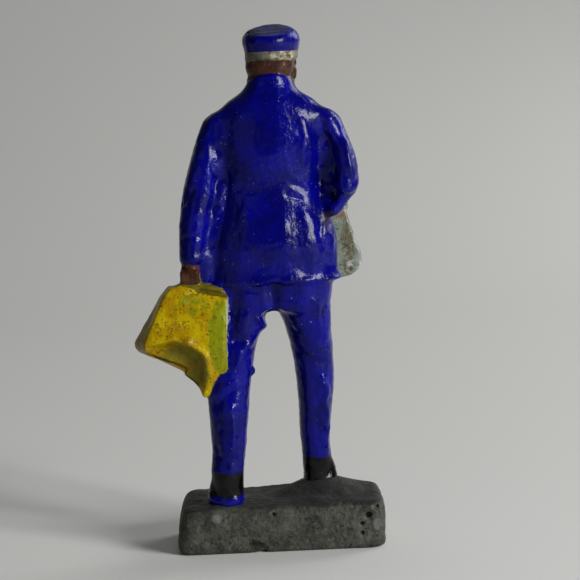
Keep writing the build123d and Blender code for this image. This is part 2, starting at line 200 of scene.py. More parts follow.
def head():
    """A calm, general head: eyes half-way down, and nose and mouth at the thirds of the face."""
    bm = bmesh.new()
    lump(bm, (0.05, 0.1, 0.3), (2.72, 3.15, 2.4))
    lump(bm, (0.05, -0.1, -0.6), (2.7, 2.85, 2.0))
    lump(bm, (0.1, -0.9, -2.5), (2.25, 2.2, 1.75))
    lump(bm, (0.15, 0.5, -0.8), (2.83, 2.45, 2.3))
    lump(bm, (0.2, 0.6, -2.5), (2.68, 2.15, 2.0))
    lump(bm, (0, -2.55, -3.75), (0.85, 0.65, 0.6))
    rod(bm, (0, 0.6, -6.5), (0, 0.6, -2.0), 1.9, 2.0)
    rod(bm, (-0.95, -2.72, -0.38), (0.95, -2.72, -0.38), 0.34, 0.34)
    rod(bm, (0, -2.85, -0.75), (0, -3.3, -1.95), 0.26, 0.4)
    lump(bm, (0, -2.82, -2.95), (0.8, 0.34, 0.17))
    lump(bm, (0, -2.76, -3.25), (0.66, 0.34, 0.2))
    for side in (-1, 1):
        lump(bm, (side * 0.36, -3.05, -2.08), (0.3, 0.34, 0.26))
        lump(bm, (side * 1.4, -2.1, -2.05), (0.75, 0.6, 0.7))
        lump(bm, (side * 1.02, -2.52, -1.02), (0.56, 0.36, 0.27))
        lump(bm, (side * 1.85, -0.2, -2.9), (0.75, 1.5, 0.85), (18, 0, 0))
        lump(bm, (side * 2.52, -0.65, -1.55), (0.26, 0.55, 0.85), (-12, 0, side * 6))
        lump(bm, (side * 2.66, -0.6, -1.3), (0.12, 0.42, 0.5), (-12, 0, side * 8))
    bmesh.ops.transform(bm, matrix=head_place(brow_z), verts=bm.verts)
    return bm


def cap_crown():
    """The crown, drawn in towards its top and let slope up to the front."""
    bm = bare_piece("cap_crown")
    foot, top = box("cap_crown")[0].z, box("cap_crown")[1].z
    for vert in bm.verts:
        rise = max(0.0, (vert.co.z - foot - 1.0) / (top - foot - 1.0))
        draw = math.sqrt(1 - (0.72 * rise) ** 2)
        vert.co.x = cap_middle.x + (vert.co.x - cap_middle.x) * draw
        vert.co.y = cap_middle.y + (vert.co.y - cap_middle.y) * draw
    return bm


def cap_peak():
    """The peak, a little narrower than the band, with its root raised to meet the band's edge."""
    bm = bare_piece("cap_peak")
    bmesh.ops.scale(bm, vec=(0.9, 1, 1), space=head_place(0).inverted(), verts=bm.verts)
    reach = [math.hypot(vert.co.x - cap_middle.x, vert.co.y - cap_middle.y) for vert in bm.verts]
    root, rim = min(reach), max(reach)
    for vert, out in zip(bm.verts, reach):
        vert.co.z += 0.35 + 0.65 * ramp(out, rim, root)
    return bm


# Hands

FINGER = 0.29  # radii
THUMB = 0.31


def finger(bm, x, y, z, joints):
    """A bent finger at x, through joints given as y and z from the middle of the fist."""
    chain(bm, [(x, y + forward, z + up) for forward, up in joints], FINGER)


def left_hand():
    """A fist that hangs from the cuff, with the back of the hand outwards and fingers under the bar."""
    bm = bmesh.new()
    x, y, z = left_grip.x, left_grip.y, left_hand_low.z + FIST / 2
    cuff = Vector((x - 0.45, y - 0.1, z + 2.6))
    rod(bm, (x, y + 0.1, z + 0.5), cuff, 0.95, 0.88)
    lump(bm, (x, y + 0.25, z + 0.15), (1.05, 0.95, 1.1))
    for step in range(4):
        across = x - 0.78 + 0.52 * step
        finger(bm, across, y, z, [(1.0, 0.35), (0.85, -0.7), (-0.35, -0.95), (-0.85, -0.2)])
    thumb = [(x - 0.7, y - 0.3, z + 0.75), (x - 0.5, y - 1.0, z + 0.25), (x + 0.25, y - 1.1, z - 0.1)]
    chain(bm, thumb, THUMB)
    return bm


def right_hand():
    """A fist at the end of the bent arm, knuckles forwards."""
    bm = bmesh.new()
    x, y, z = right_grip.x, right_hand_low.y + 1.15, right_grip.z
    rod(bm, (x, y + 0.3, z + 0.2), (x, y + 2.8, z + 0.6), 0.9, 0.88)
    lump(bm, (x, y, z + 0.3), (1.05, 1.1, 0.85))
    for step in range(4):
        across = x - 0.78 + 0.52 * step
        finger(bm, across, y, z, [(-0.75, 0.55), (-1.0, -0.35), (-0.3, -0.95), (0.55, -0.75)])
    thumb = [(x + 0.95, y + 0.5, z + 0.4), (x + 1.05, y - 0.3, z + 0.1), (x + 0.6, y - 0.8, z - 0.25)]
    chain(bm, thumb, THUMB)
    return bm


# Shoes


def shoe(node):
    """A laced shoe: the bare piece, spread at the heel and sole where the enamel has run down."""
    bm = bare_piece(node)
    low, high = box(node)
    side = 1 if node == "left_shoe" else -1
    sole_z = base_high.z - 0.95 if node == "left_shoe" else base_high.z - 0.1
    heel = Vector((middle(node).x + side * 0.1, high.y - 1.9, sole_z + 0.2))
    lump(bm, heel, (2.1, 1.75, 0.9))
    lump(bm, heel + Vector((side * 0.5, -0.1, 0.3)), (1.6, 1.5, 1.5), (0, side * 20, 0))
    ankle = Vector((middle(node).x, high.y - 1.9, high.z - 2.1))
    rod(bm, ankle, heel + Vector((side * 0.65, -0.3, 0.9)), 1.3, 1.35)
    toe = Vector((middle(node).x + side * 0.4, low.y + 1.9, sole_z + 0.4))
    rod(bm, heel + Vector((side * 0.5, -0.4, 0.7)), toe, 1.4, 1.4)
    lump(bm, toe + Vector((-side * 0.7, 0.1, 0.05)), (1.6, 1.95, 0.8))
    return bm


# Sleeves and coat


def jacket():
    """The jacket, whose skirt fills the gap up to the left sleeve and hand."""
    bm = bare_piece("jacket")
    rod(bm, (5.5, 1.2, 46.5), (5.8, 1.6, 42.0), 1.1, 1.2)
    rod(bm, (5.8, 1.6, 42.0), (6.5, 1.8, 38.0), 1.2, 1.2)
    rod(bm, (6.5, 1.8, 38.0), (7.3, 2.2, 34.5), 1.2, 1.1)
    rod(bm, (7.3, 2.2, 34.5), (7.5, 2.4, 31.8), 1.1, 0.8)
    return bm


def right_sleeve():
    """The bent sleeve, with the fold of cloth that hangs at the elbow and meets the jacket."""
    bm = bare_piece("right_sleeve")
    rod(bm, (-9.1, 1.2, 41.4), (-8.1, 1.5, 38.8), 1.35, 0.5)
    rod(bm, (-8.9, 1.4, 41.2), (-7.2, 1.9, 38.9), 1.2, 0.8)
    rod(bm, (-8.1, 1.6, 39.3), (-7.3, 2.0, 38.7), 0.8, 0.8)
    rod(bm, (-7.4, 0.6, 42.4), (-7.1, 1.3, 39.4), 0.9, 0.85)
    return bm


# Bags


def yellow_bag():
    """The yellow bag's body, whose foot sags to a tongue of metal that runs down onto the leg."""
    y = yellow_middle_y
    bm = bmesh.new()
    rear = slab(bm, YELLOW_BODY, y, 1.25, 2.2)
    for vert in rear:
        if vert.co.x > 11.5:
            vert.co.x -= 0.3 + 0.16 * max(0.0, 31 - vert.co.z)
    for vert in bm.verts:
        thin = ramp(vert.co.z, 22.4, 19.6)
        vert.co.y = y + 0.3 * thin + (vert.co.y - y) * (1 - 0.55 * thin)
    rod(bm, (9.0, y + 0.3, 20.6), (8.15, y + 0.2, 18.5), 0.75, 0.32)
    rod(bm, (5.8, y + 1.3, 21.4), (5.45, y + 1.3, 20.3), 0.45, 0.2)
    return bm


def yellow_frame():
    """The folded metal of the bag's mouth."""
    bm = bmesh.new()
    slab(bm, YELLOW_MOUTH, yellow_middle_y, 0.8, 1.05)
    return bm


def pale_bag():
    bm = bmesh.new()
    slab(bm, PALE_BODY, pale_middle_y, 1.0, 1.75)
    return bm


def handle(node, grip):
    """A strap that rises from the bag's mouth on either side of the palm."""
    low, high = box(node)
    bm = bmesh.new()
    x, y, bar_z = grip.x, middle(node).y, high.z - 0.4
    corners = [(x - 0.95, y, low.z), (x - 0.8, y, bar_z), (x + 0.8, y, bar_z), (x + 0.85, y, low.z)]
    chain(bm, corners, 0.34)
    return bm


# Outlines as x, z

YELLOW_BODY = [
    (10.7, 31.0),
    (11.9, 30.85),
    (12.95, 29.7),
    (13.7, 28.45),
    (14.75, 26.8),
    (15.65, 25.4),
    (16.15, 24.55),
    (16.2, 23.75),
    (15.75, 23.2),
    (14.9, 22.85),
    (13.9, 22.45),
    (12.85, 21.95),
    (11.8, 21.35),
    (10.5, 20.65),
    (9.4, 19.75),
    (8.75, 18.95),
    (8.35, 18.05),
    (7.85, 17.95),
    (7.3, 19.4),
    (6.7, 20.35),
    (6.3, 20.85),
    (5.85, 20.8),
    (5.35, 20.3),
    (5.2, 20.6),
    (5.5, 22.0),
    (5.55, 24.0),
    (5.3, 26.2),
    (5.1, 28.0),
    (5.05, 29.3),
    (7.0, 29.95),
    (8.3, 30.2),
    (9.4, 30.65),
]
YELLOW_MOUTH = [
    (11.6, 30.6),
    (10.5, 31.25),
    (9.7, 31.5),
    (8.25, 31.2),
    (6.65, 30.8),
    (5.75, 30.4),
    (5.2, 29.7),
    (5.15, 29.0),
    (7.0, 29.3),
    (9.4, 29.9),
]
PALE_BODY = [
    (-9.2, 38.6),
    (-9.4, 37.7),
    (-9.8, 36.3),
    (-10.3, 34.5),
    (-10.85, 33.1),
    (-10.9, 31.95),
    (-10.5, 31.2),
    (-9.7, 30.6),
    (-8.5, 30.3),
    (-4.2, 30.3),
    (-3.2, 30.7),
    (-2.8, 31.7),
    (-3.0, 33.2),
    (-3.8, 36.2),
    (-4.4, 38.6),
]


# Folds and hollows: from and to, width, and height above the cloth (below it where negative)


def jacket_folds():
    back = jacket_high.y
    return [
        ((-4.6, back, 50.0), (-4.95, back, 43.4), 0.8, 0.35),
        ((-4.95, back, 43.4), (-5.5, back, 41.4), 0.5, 0.3),
        ((-5.5, back, 41.4), (-6.9, back, 39.0), 0.4, 0.3),
        ((-6.8, 3.0, 48.6), (-7.0, 3.0, 43.0), 1.0, -0.65),
        ((-7.0, 3.0, 43.0), (-7.4, 3.0, 40.8), 0.8, -0.4),
        ((-3.0, back, 42.0), (-5.2, back, 41.2), 0.45, -0.16),
        ((-2.4, back, 40.9), (-4.6, back, 39.9), 0.45, -0.14),
        ((1.5, back, 41.6), (4.9, back, 42.4), 0.5, -0.18),
        ((4.4, back, 47.5), (4.7, back, 44.0), 0.9, 0.18),
        ((-4.6, back, 39.2), (-5.3, back, 33.0), 1.0, 0.14),
        ((-3.2, back, 38.0), (-3.7, back, 32.0), 0.9, -0.08),
        ((-1.6, back, 37.0), (-2.1, back, 32.0), 0.8, 0.12),
        ((2.4, back, 39.5), (3.3, back, 33.5), 0.8, 0.14),
        ((-6.4, 2.6, 38.2), (-7.6, 2.6, 32.5), 0.5, 0.12),
        ((-5.9, 3.0, 38.0), (-6.6, 3.0, 32.5), 0.5, -0.12),
        ((5.6, 2.6, 49.0), (5.8, 2.9, 46.4), 0.9, -0.2),
        ((5.6, 2.9, 46.4), (5.5, 3.2, 42.6), 0.8, -0.28),
        ((5.5, 3.2, 42.6), (6.3, 3.2, 39.5), 0.7, -0.3),
        ((6.3, 3.2, 39.5), (7.5, 3.2, 34.8), 0.6, -0.22),
        ((neck_x, jacket_low.y, 51.0), (-0.1, jacket_low.y, 31.2), 0.22, -0.2),
        ((-3.0, jacket_low.y, 50.6), (-1.2, jacket_low.y, 47.6), 0.3, 0.24),
        ((1.6, jacket_low.y, 50.6), (-0.2, jacket_low.y, 47.6), 0.3, 0.24),
        ((2.2, jacket_low.y, 40.6), (4.6, jacket_low.y, 40.9), 0.4, -0.2),
    ]


def sleeve_folds():
    return [
        ((7.3, 2.6, 47.6), (8.6, 3.3, 42.5), 0.5, 0.16),
        ((8.5, 3.4, 41.6), (9.9, 3.6, 40.4), 0.35, -0.2),
        ((8.2, 3.6, 39.4), (9.6, 4.0, 37.8), 0.5, 0.12),
        ((8.0, 3.9, 36.6), (9.9, 4.0, 36.0), 0.3, -0.14),
        ((-7.4, 2.4, 46.6), (-7.4, 2.4, 41.0), 1.25, -0.85),
        ((-9.3, 2.9, 46.4), (-9.9, 2.4, 42.6), 0.45, 0.22),
        ((-9.8, 0.6, 43.0), (-8.6, -2.6, 41.4), 0.4, -0.18),
        ((-8.2, -1.6, 43.6), (-7.6, -3.8, 42.2), 0.4, 0.16),
    ]


def trouser_folds():
    return [
        ((2.9, 4.0, 29.6), (3.0, 4.0, 25.0), 0.9, 0.34),
        ((4.6, 4.0, 29.0), (4.9, 4.0, 24.8), 0.6, -0.2),
        ((-3.6, 3.9, 30.0), (-3.4, 3.6, 26.0), 1.0, 0.3),
        ((-0.2, 4.2, 30.4), (-0.3, 3.4, 27.6), 0.8, -0.55),
        ((3.2, 4.2, 23.8), (4.4, 4.4, 21.6), 0.6, 0.3),
        ((2.4, 3.8, 24.9), (4.6, 4.2, 24.2), 0.35, -0.25),
        ((4.8, 5.2, 18.6), (6.8, 5.4, 17.6), 0.45, -0.2),
        ((1.6, 1.8, 26.8), (1.4, 1.8, 25.4), 0.6, 0.6),
        ((2.6, 2.4, 20.7), (2.6, 2.4, 20.3), 0.25, 0.4),
        ((5.0, 5.2, 16.6), (5.4, 5.4, 11.8), 0.5, 0.25),
        ((6.9, 4.6, 17.0), (6.9, 4.6, 11.5), 0.5, -0.15),
        ((-5.6, 1.6, 19.4), (-5.9, 1.0, 11.0), 0.4, 0.28),
        ((-4.6, 2.2, 19.0), (-4.8, 2.0, 12.0), 0.5, -0.15),
        ((-3.2, 2.2, 22.4), (-5.6, 2.2, 21.2), 0.5, -0.12),
        ((-6.2, 0.6, 27.4), (-6.3, 0.4, 24.2), 0.5, 0.25),
        ((-5.0, 2.4, 28.6), (-5.6, 2.4, 24.8), 0.5, 0.2),
    ]


def bag_hollows():
    back = box("yellow_bag_body")[1].y
    front = box("pale_bag_body")[0].y
    return [
        ((13.9, back, 24.6), (11.8, back, 25.2), 0.45, 0.16),
        ((11.8, back, 25.2), (9.6, back, 24.6), 0.45, 0.2),
        ((9.6, back, 24.6), (8.0, back, 22.9), 0.45, 0.22),
        ((8.0, back, 22.9), (7.3, back, 21.0), 0.4, 0.2),
        ((9.2, back, 29.4), (6.2, back, 28.8), 0.4, -0.12),
        ((9.3, back - 0.6, 30.5), (5.6, back - 0.6, 29.7), 0.16, -0.4),
        ((-10.0, front, 32.0), (-3.8, front, 32.0), 0.4, -0.2),
    ]


def scoop(bm):
    """Dishes the lower part of the yellow bag's rear side, so that its foot curls in."""
    for vert in bm.verts:
        if vert.co.z > DISH_Z + DISH_RADIUS + 1 or vert.co.x < LEG_EDGE:
            continue
        place = vert.co + noise.noise_vector(vert.co * WANDER_SCALE) * 0.35
        reach = math.hypot(place.x - DISH_X, place.z - DISH_Z)
        inside = ramp(reach, DISH_RADIUS, DISH_RADIUS - 1.2)
        clear = ramp(vert.co.x, LEG_EDGE, LEG_EDGE + 1)
        rear = ramp(vert.co.y, yellow_middle_y, yellow_middle_y + 1.2)
        vert.co.y -= DISH_DEPTH * inside * inside * (3 - 2 * inside) * clear * rear


def press(bm, strokes):
    """Raises or sinks the skin along each stroke, which wanders a little from its line."""
    places = [(vert.co + noise.noise_vector(vert.co * WANDER_SCALE) * 0.5, vert) for vert in bm.verts]
    places.sort(key=lambda pair: pair[0].z)
    heights = [place.z for place, vert in places]
    for start, end, width, height in strokes:
        start, end = Vector(start), Vector(end)
        along = end - start
        reach = width * 2.5
        first = bisect_left(heights, min(start.z, end.z) - reach)
        last = bisect_right(heights, max(start.z, end.z) + reach)
        for place, vert in places[first:last]:
            gap = place - (start + along * ramp((place - start).dot(along), 0, along.length_squared))
            flat = math.hypot(gap.x, gap.z)
            if flat < reach and abs(gap.y) < STROKE_REACH:
                fade = ramp(abs(gap.y), STROKE_REACH, STROKE_REACH - STROKE_FADE)
                vert.co += vert.normal * height * fade * math.exp(-((flat / width) ** 2))


# The skin over all the pieces


def as_object(bm, name):
    mesh = bpy.data.meshes.new(name)
    bm.to_mesh(mesh)
    piece = bpy.data.objects.new(name, mesh)
    bpy.context.scene.collection.objects.link(piece)
    return piece


def skin_over(sources, grain):
    """One closed skin of even facets over overlapping pieces."""
    joined = bmesh.new()
    for bm in sources.values():
        copy = bpy.data.meshes.new("copy")
        bm.to_mesh(copy)
        joined.from_mesh(copy)
        bpy.data.meshes.remove(copy)
    rough = as_object(joined, "rough")
    joined.free()
    remesh = rough.modifiers.new("skin", "REMESH")
    remesh.mode = "VOXEL"
    remesh.voxel_size = grain
    depsgraph = bpy.context.evaluated_depsgraph_get()
    skin = bmesh.new()
    skin.from_mesh(rough.evaluated_get(depsgraph).to_mesh())
    bpy.data.objects.remove(rough)
    drop_inner_shells(skin)
    return skin


def drop_inner_shells(bm):
    """Keeps the outermost shell."""
    inner = [vert for shell in shells_of(bm)[:-1] for vert in shell]
    bmesh.ops.delete(bm, geom=inner, context="VERTS")


def shells_of(bm):
    """The vertices of each separate shell, smallest shell first."""
    bm.verts.index_update()
    seen = set()
    shells = []
    for first in bm.verts:
        if first.index in seen:
            continue
        seen.add(first.index)
        shell, front = [], [first]
        while front:
            vert = front.pop()
            shell.append(vert)
            for edge in vert.link_edges:
                other = edge.other_vert(vert)
                if other.index not in seen:
                    seen.add(other.index)
                    front.append(other)
        shells.append(shell)
    return sorted(shells, key=len)


def soften(bm, verts, rounds):
    axes = {"use_axis_x": True, "use_axis_y": True, "use_axis_z": True}
    for _ in range(rounds):
        bmesh.ops.smooth_vert(bm, verts=verts, factor=0.5, **axes)
    bm.normal_update()


def nearest_source(bm, sources):
    """For each face, the name of the bare piece that it lies over."""
    names = list(sources)
    trees = [BVHTree.FromBMesh(bm_source) for bm_source in sources.values()]
    owners = []
    for face in bm.faces:
        centre = face.calc_center_median()
        best, best_gap = 0, 1e9
        for index, tree in enumerate(trees):
            gap = tree.find_nearest(centre, min(best_gap, 3.0))[3]
            if gap is not None and gap < best_gap:
                best, best_gap = index, gap
        owners.append(best)
    for _ in range(3):
        owners = settle(bm, owners)
    return [names[owner] for owner in owners]


def settle(bm, owners):
    """Gives each face to the piece that most of its neighbours belong to, to even the paint lines."""
    result = []
    for face in bm.faces:
        votes = {owners[face.index]: 1.5}
        for edge in face.edges:
            for other in edge.link_faces:
                if other is not face:
                    owner = owners[other.index]
                    votes[owner] = votes.get(owner, 0) + 1
        result.append(max(votes, key=votes.get))
    return result


def hand_finish(bm, amount):
    """The slight unevenness of a worked and thickly painted surface."""
    for vert in bm.verts:
        broad = noise.noise(vert.co * 0.42)
        fine = noise.noise(vert.co * 1.5 + Vector((9, 3, 5)))
        vert.co += vert.normal * amount * (broad + 0.4 * fine)
    bm.normal_update()


def cut_out(skin, owners, name):
    """The part of the skin over one piece, closed where it was cut, with the whole skin's shading."""
    part = skin.copy()
    part.faces.ensure_lookup_table()
    others = [face for face, owner in zip(part.faces, owners) if owner != name]
    bmesh.ops.delete(part, geom=others, context="FACES")
    shading = [vert.normal.copy() for vert in part.verts]
    for loop in cut_edges(part):
        close_inwards(part, loop)
    shading += [Vector()] * (len(part.verts) - len(shading))
    return part, shading


def cut_edges(bm):
    """The open edges, grouped by the opening that they go round."""
    waiting = {edge for edge in bm.edges if edge.is_boundary}
    loops = []
    while waiting:
        loop, front = [], [waiting.pop()]
        while front:
            edge = front.pop()
            loop.append(edge)
            near = {other for vert in edge.verts for other in vert.link_edges} & waiting
            waiting -= near
            front += near
        loops.append(loop)
    return loops


def close_inwards(bm, loop):
    """Turns the cut edge in under the surface and gathers it at the middle of the opening."""
    inward = {vert: vert.normal * -0.25 for edge in loop for vert in edge.verts}
    centre = mean([vert.co for vert in inward])
    turned = bmesh.ops.extrude_edge_only(bm, edges=loop)["geom"]
    rim = [g for g in turned if isinstance(g, bmesh.types.BMVert)]
    for vert in rim:
        base = min(inward, key=lambda old: (old.co - vert.co).length_squared)
        vert.co += inward[base]
    edges = [g for g in turned if isinstance(g, bmesh.types.BMEdge)]
    gathered = bmesh.ops.extrude_edge_only(bm, edges=edges)["geom"]
    core = [g for g in gathered if isinstance(g, bmesh.types.BMVert)]
    bmesh.ops.pointmerge(bm, verts=core, merge_co=centre)


def finished(bm, name, nodes, material, shading=None):
    """Brings a piece to metres, puts it on the frame and gives it its finish."""
    bmesh.ops.scale(bm, vec=[MM] * 3, verts=bm.verts)
    piece = as_object(bm, name)
    bm.free()
    piece.data.shade_smooth()
    if shading:
        piece.data.normals_split_custom_set_from_vertices(shading)
    piece.data.materials.append(material)
    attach(piece, "root")
    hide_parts(*nodes)
    return piece


slot_of = {part["node"]: part["material_slot"] for part in frame["record"]["subparts"]}


# Finishes


class Value:
    """A socket in a material's node tree, with arithmetic."""

    def __init__(self, finish, socket):
        self.finish = finish
        self.socket = socket

    def math(self, operation, other, swapped=False):
        pair = [other, self] if swapped else [self, other]
        return self.finish.node("ShaderNodeMath", {"operation": operation}, dict(enumerate(pair)))

    def __add__(self, other):
        return self.math("ADD", other)

    __radd__ = __add__

    def __sub__(self, other):
        return self.math("SUBTRACT", other)

    def __rsub__(self, other):
        return self.math("SUBTRACT", other, swapped=True)

    def __mul__(self, other):
        return self.math("MULTIPLY", other)

    __rmul__ = __mul__

    def maximum(self, other):
        return self.math("MAXIMUM", other)


class Finish:
    """A procedural material under construction."""

    def __init__(self, name):
        self.material = bpy.data.materials.new(name)
        self.material.use_nodes = True
        self.tree = self.material.node_tree
        self.shader = self.tree.nodes["Principled BSDF"]
        inputs = {0: self.node("ShaderNodeTexCoord", {}, {}, "Object"), "Scale": 1 / MM}
        self.place = self.node("ShaderNodeVectorMath", {"operation": "SCALE"}, inputs)

    def node(self, kind, settings, inputs, output=0):
        made = self.tree.nodes.new(kind)
        for key, value in settings.items():
            setattr(made, key, value)
        for key, value in inputs.items():
            if isinstance(value, Value):
                self.tree.links.new(value.socket, made.inputs[key])
            else:
                made.inputs[key].default_value = value
        return Value(self, made.outputs[output])

    def noise(self, scale, detail=3.0, stretch=(1, 1, 1), shift=(0, 0, 0)):
        """Noise with scale features to the millimetre."""
        inputs = {"Vector": self.place, "Location": shift, "Scale": stretch}
        place = self.node("ShaderNodeMapping", {}, inputs)
        return self.node("ShaderNodeTexNoise", {}, {"Vector": place, "Scale": scale, "Detail": detail})

    def dots(self, spacing, size, shift=(0, 0, 0)):
        """1 in small round dots, one to each spacing, and 0 between them."""
        place = self.node("ShaderNodeMapping", {}, {"Vector": self.place, "Location": shift})
        inputs = {"Vector": place, "Scale": 1 / spacing}
        distance = self.node("ShaderNodeTexVoronoi", {}, inputs, "Distance")
        return self.step(distance, size * 1.25, size * 0.75)

    def specks(self, scale, rarity, shift=(0, 0, 0)):
        """1 in small irregular flecks, the fewer the larger rarity is."""
        flecks = self.step(self.noise(scale, 1.0, shift=shift), rarity, rarity + 0.03)
        return flecks * self.step(self.noise(scale * 0.2, 2.0, shift=shift), 0.42, 0.58)

    def step(self, value, low, high):
        """0 below low and 1 above high, or the other way round where low is the larger."""
        inputs = {"Value": value, "From Min": low, "From Max": high}
        return self.node("ShaderNodeMapRange", {"interpolation_type": "SMOOTHSTEP"}, inputs)

    def patch(self, centre, radii, ragged=0.5):
        """1 inside a ragged ellipsoid about centre, and 0 outside."""
        inverse = [1 / r for r in radii]
        shift = [-c / r for c, r in zip(centre, radii)]
        inputs = {"Vector": self.place, "Location": shift, "Scale": inverse}
        place = self.node("ShaderNodeMapping", {}, inputs)
        length = self.node("ShaderNodeVectorMath", {"operation": "LENGTH"}, {0: place}, "Value")
        return self.step(length + (self.noise(1.1) - 0.5) * ragged, 1.15, 0.85)

    def along(self, axis):
        """The place along the figure's X, Y or Z, in millimetres."""
        return self.node("ShaderNodeSeparateXYZ", {}, {0: self.place}, axis)

    def upward(self):
        """How far the surface faces up, from -1 to 1."""
        normal = self.node("ShaderNodeNewGeometry", {}, {}, "Normal")
        return self.node("ShaderNodeSeparateXYZ", {}, {0: normal}, "Z")

    def mix(self, share, first, second):
        """first where share is 0, and second where it is 1."""
        inputs = {"Factor": share, 6: first, 7: second}
        return self.node("ShaderNodeMix", {"data_type": "RGBA"}, inputs, 2)

    def done(self, colour, roughness, relief, depth, coat=0.0):
        """Connects the finish to the shader. depth is the relief's height in millimetres."""
        inputs = {"Height": relief, "Distance": depth * MM, "Strength": 1.0}
        bump = self.node("ShaderNodeBump", {}, inputs, "Normal")
        for key, value in (("Base Color", colour), ("Roughness", roughness), ("Normal", bump)):
            self.tree.links.new(value.socket, self.shader.inputs[key])
        self.shader.inputs["Specular IOR Level"].default_value = SPECULAR
        self.shader.inputs["Coat Weight"].default_value = coat * COAT_SHARE
        self.shader.inputs["Coat Roughness"].default_value = COAT_ROUGHNESS
        return self.material


def rgb(red, green, blue):
    return (red, green, blue, 1.0)


def brushed(finish):
    """Relief of thick enamel: long soft brush marks, orange peel and pinholes."""
    streaks = finish.noise(0.9, 2.0, stretch=(1.6, 1.6, 0.35))
    peel = finish.noise(2.6, 2.0)
    pinholes = finish.dots(1.1, 0.09)
    return streaks * 0.8 + peel * 0.5 + finish.noise(4.2, 2.0) * 0.28 - pinholes * 0.5


def blue_enamel():
    """The suit's blue, brushed unevenly, with specks of dust and a worn patch under the right arm."""
    finish = Finish("blue enamel")
    tone = finish.mix(finish.step(finish.noise(0.35), 0.35, 0.7), BLUE_DEEP, BLUE)
    # Paler blue in random patches of brushed enamel.
    lighter_tone_and_painted_highlight = finish.step(finish.noise(1.3, shift=(4, 0, 0)), 0.52, 0.8)
    tone = finish.mix(lighter_tone_and_painted_highlight * 0.45, tone, BLUE_BRIGHT)
    specks = finish.specks(3.2, 0.735, (3, 1, 2))
    tone = finish.mix(specks * 0.55, tone, rgb(0.22, 0.22, 0.3))
    worn = finish.patch((-6.9, 2.4, 37.9), (0.85, 1.6, 0.9))
    tone = finish.mix(worn * 0.75, tone, rgb(0.018, 0.012, 0.02))
    roughness = 0.13 + finish.noise(0.8) * 0.16 + worn * 0.25
    return finish.done(tone, roughness, brushed(finish), 0.1, 0.35)


def cap_enamel():
    """The jacket's blue, dusty on top and chipped at the edge."""
    finish = Finish("cap enamel")
    tone = finish.mix(finish.step(finish.noise(0.6), 0.35, 0.7), BLUE_DEEP, BLUE)
    dust = finish.step(finish.upward(), 0.55, 0.9) * finish.step(finish.noise(1.4), 0.25, 0.6)
    tone = finish.mix(dust * 0.7, tone, rgb(0.035, 0.04, 0.075))
    chip = finish.patch((cap_middle.x + 2.0, cap_middle.y + 1.6, 59.5), (0.75, 1.1, 0.42))
    tone = finish.mix(chip, tone, rgb(0.004, 0.004, 0.006))
    roughness = 0.16 + finish.noise(0.9) * 0.14 + dust * 0.3
    return finish.done(tone, roughness, brushed(finish) - chip * 0.8, 0.1, 0.3)


def black_enamel():
    """Black, with a slip of the trousers' blue at the foot of the trailing shoe."""
    finish = Finish("black enamel")
    share = finish.step(finish.noise(0.8), 0.4, 0.7)
    tone = finish.mix(share, rgb(0.0015, 0.0015, 0.002), rgb(0.005, 0.005, 0.006))
    ragged_height = finish.along("Z") + finish.noise(0.8) * 1.4
    slip = finish.step(ragged_height, base_high.z + 0.75, base_high.z + 0.5)
    trailing = finish.step(finish.along("X"), 2.0, 2.6)
    tone = finish.mix(slip * trailing * 0.85, tone, BLUE)
    roughness = 0.1 + finish.noise(1.0) * 0.14
    return finish.done(tone, roughness, brushed(finish), 0.09, 0.4)


def skin_enamel():
    """Dark brown gloss, with painted eyes and lips."""
    finish = Finish("skin enamel")
    share = finish.step(finish.noise(0.7), 0.35, 0.7)
    tone = finish.mix(share, rgb(0.03, 0.009, 0.004), rgb(0.07, 0.026, 0.016))
    tone = finish.mix(finish.specks(3.6, 0.62, (1, 2, 0)) * 0.6, tone, rgb(0.15, 0.08, 0.02))
    turn = head_place(brow_z)
    lips = finish.patch(turn @ Vector((0, -3.05, -3.1)), (0.75, 0.5, 0.34), 0.1)
    tone = finish.mix(lips * 0.6, tone, rgb(0.16, 0.03, 0.022))
    for side in (-1, 1):
        white = finish.patch(turn @ Vector((side * 1.02, -2.85, -1.04)), (0.42, 0.5, 0.15), 0.1)
        tone = finish.mix(white * 0.85, tone, rgb(0.5, 0.47, 0.4))
        iris = finish.patch(turn @ Vector((side * 1.0, -2.85, -1.03)), (0.15, 0.5, 0.15), 0.05)
        tone = finish.mix(iris, tone, rgb(0.01, 0.006, 0.004))
    roughness = 0.2 + finish.noise(1.0) * 0.2
    return finish.done(tone, roughness, brushed(finish), 0.08, 0.35)


